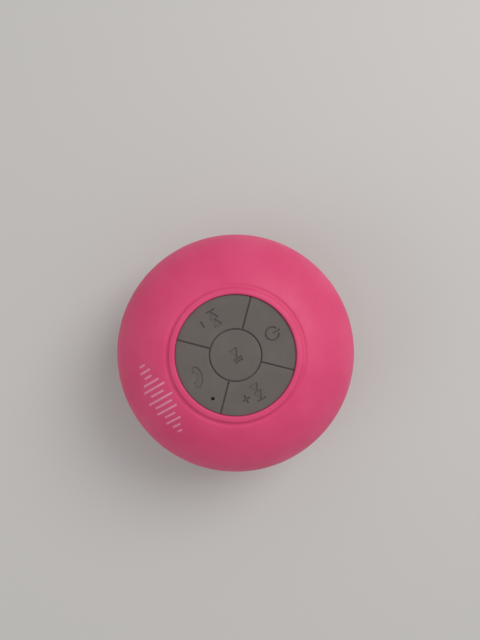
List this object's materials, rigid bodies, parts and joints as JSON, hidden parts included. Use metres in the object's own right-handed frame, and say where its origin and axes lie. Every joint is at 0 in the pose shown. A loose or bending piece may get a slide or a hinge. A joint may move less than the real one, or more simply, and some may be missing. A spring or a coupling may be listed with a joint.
{
  "type": "shower speaker",
  "caption": "Domed waterproof speaker with a silicone skin, a round key pad, a slotted neck, a charging-port flap and a suction cup for a wall.",
  "frame": {"origin": "centre of the suction cup's rim plane, on the dome's axis", "axes": "+Z along the dome's axis, from the cup to the key pad; +Y towards the power key, which is the top as it hangs on a wall; +X towards the next-track key"},
  "size_m": [0.086, 0.086, 0.054],
  "materials": {
    "dome_silicone": "satin moulded silicone, pink",
    "key_silicone": "satin moulded silicone, warm grey",
    "rear_plastic": "semi-gloss moulded ABS, pink",
    "cup_vinyl": "glossy translucent soft PVC, pink",
    "white_plastic": "moulded ABS, off-white",
    "black_plastic": "moulded nylon, black",
    "circuit_board": "glass-fibre laminate with green solder mask",
    "steel": "plated steel",
    "ferrite": "sintered ferrite",
    "copper": "enamelled copper winding",
    "paper": "coated paper and doped cloth",
    "mesh_fabric": "acoustic fabric, dark grey",
    "foil": "aluminium laminate pouch",
    "wire_red": "silicone wire jacket, red",
    "wire_black": "silicone wire jacket, black"
  },
  "bodies": {
    "suction_cup": {"suction_cup": "cup_vinyl"},
    "swivel_collar": {"swivel_collar": "white_plastic"},
    "housing": {"collar_retainer": "white_plastic", "front_skin": "dome_silicone", "front_shell": "white_plastic", "rear_shell": "rear_plastic", "case_seal": "black_plastic", "grille_mesh": "mesh_fabric", "keypad_web": "key_silicone", "keypad_clamp_ring": "white_plastic", "main_board": "circuit_board", "radio_module": "steel", "microphone": "steel", "microphone_boot": "black_plastic", "battery": "foil", "charge_socket": "steel", "charge_board": "circuit_board", "flap_tether": "dome_silicone", "speaker_baffle": "black_plastic", "speaker_gasket": "black_plastic", "speaker_basket": "steel", "speaker_surround": "black_plastic", "speaker_spider": "paper", "speaker_top_plate": "steel", "speaker_magnet": "ferrite", "speaker_yoke": "steel", "battery_lead_red": "wire_red", "battery_lead_black": "wire_black", "speaker_lead_red": "wire_red", "speaker_lead_black": "wire_black", "charge_lead": "wire_black", "switch_body_play": "black_plastic", "switch_body_power": "black_plastic", "switch_body_previous": "black_plastic", "switch_body_phone": "black_plastic", "switch_body_next": "black_plastic", "case_screw_1": "steel", "case_screw_2": "steel", "case_screw_3": "steel", "case_screw_4": "steel", "board_screw_1": "steel", "baffle_screw_1": "steel", "board_screw_2": "steel", "baffle_screw_2": "steel", "board_screw_3": "steel", "baffle_screw_3": "steel"},
    "play_key": {"key_play": "key_silicone", "switch_plunger_play": "white_plastic"},
    "power_key": {"key_power": "key_silicone", "switch_plunger_power": "white_plastic"},
    "previous_key": {"key_previous": "key_silicone", "switch_plunger_previous": "white_plastic"},
    "phone_key": {"key_phone": "key_silicone", "switch_plunger_phone": "white_plastic"},
    "next_key": {"key_next": "key_silicone", "switch_plunger_next": "white_plastic"},
    "speaker_cone": {"speaker_cone": "paper", "speaker_dust_cap": "paper", "voice_coil": "copper"},
    "port_flap": {"port_flap": "dome_silicone"}
  },
  "joints": [
    {"name": "cup_pull_off", "type": "slide", "parent": "suction_cup", "child": "swivel_collar", "axis": [0, 0, 1], "range_m": [0, 0.012]},
    {"name": "wall_swivel", "type": "hinge", "parent": "swivel_collar", "child": "housing", "pos_m": [0, 0, 0.0175], "axis": [0, 0, 1], "continuous": true},
    {"name": "play_press", "type": "slide", "parent": "housing", "child": "play_key", "axis": [0, 0, -1], "range_m": [0, 0.00035], "stiffness_N_per_m": 3000, "springref_m": -0.0002},
    {"name": "power_press", "type": "slide", "parent": "housing", "child": "power_key", "axis": [0, 0, -1], "range_m": [0, 0.00035], "stiffness_N_per_m": 3000, "springref_m": -0.0002},
    {"name": "previous_press", "type": "slide", "parent": "housing", "child": "previous_key", "axis": [0, 0, -1], "range_m": [0, 0.00035], "stiffness_N_per_m": 3000, "springref_m": -0.0002},
    {"name": "phone_press", "type": "slide", "parent": "housing", "child": "phone_key", "axis": [0, 0, -1], "range_m": [0, 0.00035], "stiffness_N_per_m": 3000, "springref_m": -0.0002},
    {"name": "next_press", "type": "slide", "parent": "housing", "child": "next_key", "axis": [0, 0, -1], "range_m": [0, 0.00035], "stiffness_N_per_m": 3000, "springref_m": -0.0002},
    {"name": "cone_travel", "type": "slide", "parent": "housing", "child": "speaker_cone", "axis": [0, 0, -1], "range_m": [-0.0006, 0.0006], "stiffness_N_per_m": 1500},
    {"name": "flap_fold", "type": "hinge", "parent": "housing", "child": "port_flap", "pos_m": [-0.0073, -0.0291, 0.0181], "axis": [0, 0, -1], "range_deg": [0, 150]}
  ]
}
